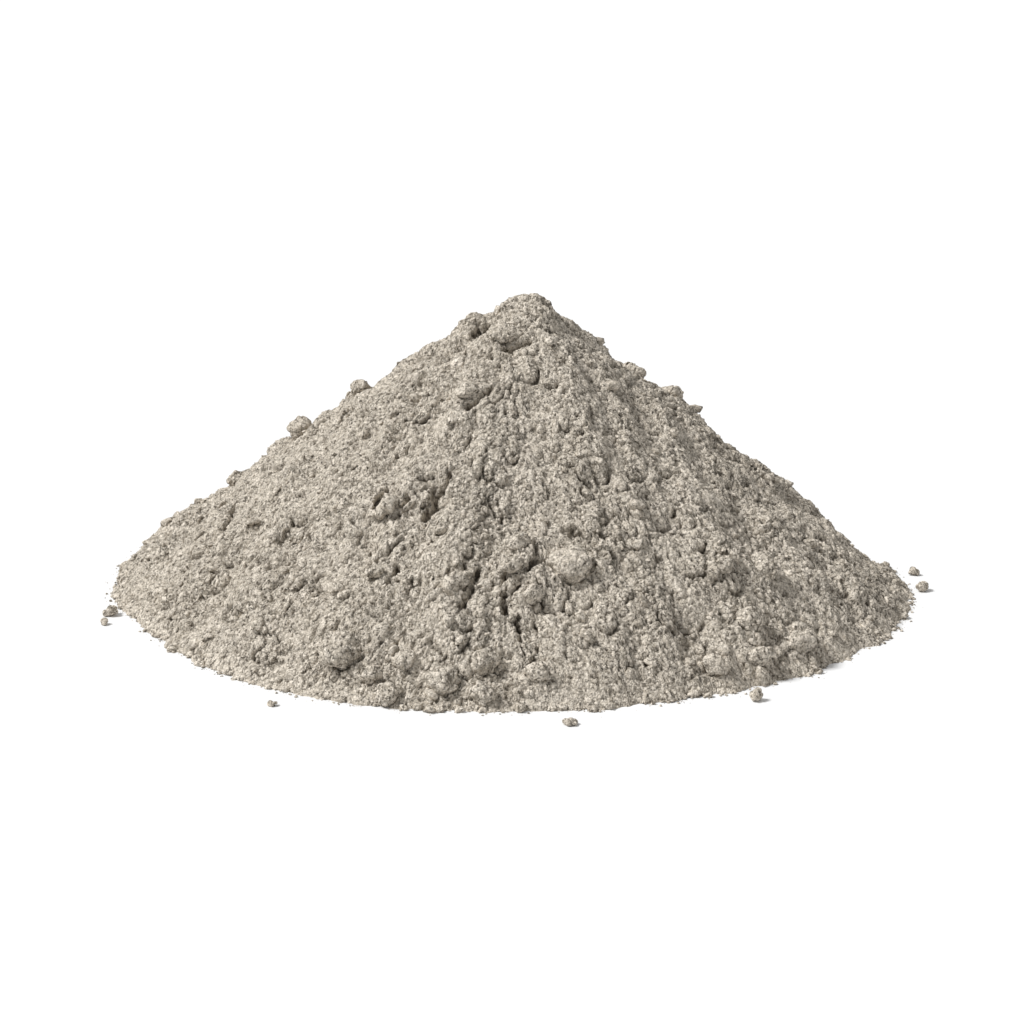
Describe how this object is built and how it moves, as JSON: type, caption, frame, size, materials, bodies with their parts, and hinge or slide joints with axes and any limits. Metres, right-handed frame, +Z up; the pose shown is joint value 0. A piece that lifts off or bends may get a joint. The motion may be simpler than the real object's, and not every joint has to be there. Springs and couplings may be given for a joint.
{
  "type": "heap of render powder",
  "caption": "Loose cone-shaped heap of dry grey-beige render powder, with clods bedded in its flanks and crumbs on the floor round its foot.",
  "frame": {"origin": "on the floor under the middle of the heap, in the plane of its flat underside", "axes": "+Z up; -Y towards the viewer of the picture; +X to that viewer's right, along the widest spread of the heap and its crumbs"},
  "size_m": [0.6026, 0.5866, 0.221],
  "materials": {
    "render_powder": "matte",
    "render_clod": "matte"
  },
  "bodies": {
    "root": {"clod_back_foot_ball": "render_clod", "clod_back_foot_left": "render_clod", "clod_back_foot_middle": "render_clod", "clod_back_foot_right": "render_clod", "clod_back_left": "render_clod", "clod_back_middle": "render_clod", "clod_back_right": "render_clod", "clod_back_upper": "render_clod", "clod_crown_lip": "render_clod", "clod_face_large": "render_clod", "clod_face_left_low": "render_clod", "clod_face_slab_lower": "render_clod", "clod_face_slab_middle": "render_clod", "clod_face_slab_upper": "render_clod", "clod_foot_ball": "render_clod", "clod_foot_centre": "render_clod", "clod_foot_left_inner": "render_clod", "clod_foot_left_large": "render_clod", "clod_foot_left_long": "render_clod", "clod_foot_left_outer": "render_clod", "clod_foot_middle_lower": "render_clod", "clod_foot_middle_upper": "render_clod", "clod_left_face": "render_clod", "clod_left_face_small": "render_clod", "clod_left_skyline_high": "render_clod", "clod_left_skyline_low": "render_clod", "clod_left_skyline_middle": "render_clod", "clod_right_ball": "render_clod", "clod_right_foot_inner": "render_clod", "clod_right_foot_lower": "render_clod", "clod_right_foot_outer": "render_clod", "clod_right_middle": "render_clod", "clod_right_skyline_high": "render_clod", "clod_right_skyline_low": "render_clod", "clod_right_skyline_middle": "render_clod", "clod_right_skyline_small": "render_clod", "clod_right_tail": "render_clod", "clod_right_upper": "render_clod", "clod_upper_face": "render_clod", "crumb_back_left": "render_clod", "crumb_back_right": "render_clod", "crumb_front_left": "render_clod", "crumb_front_middle": "render_clod", "crumb_front_right": "render_clod", "crumb_left": "render_clod", "crumb_left_outer": "render_clod", "crumb_right_lower": "render_clod", "crumb_right_upper": "render_clod", "powder_heap": "render_powder"}
  },
  "joints": []
}
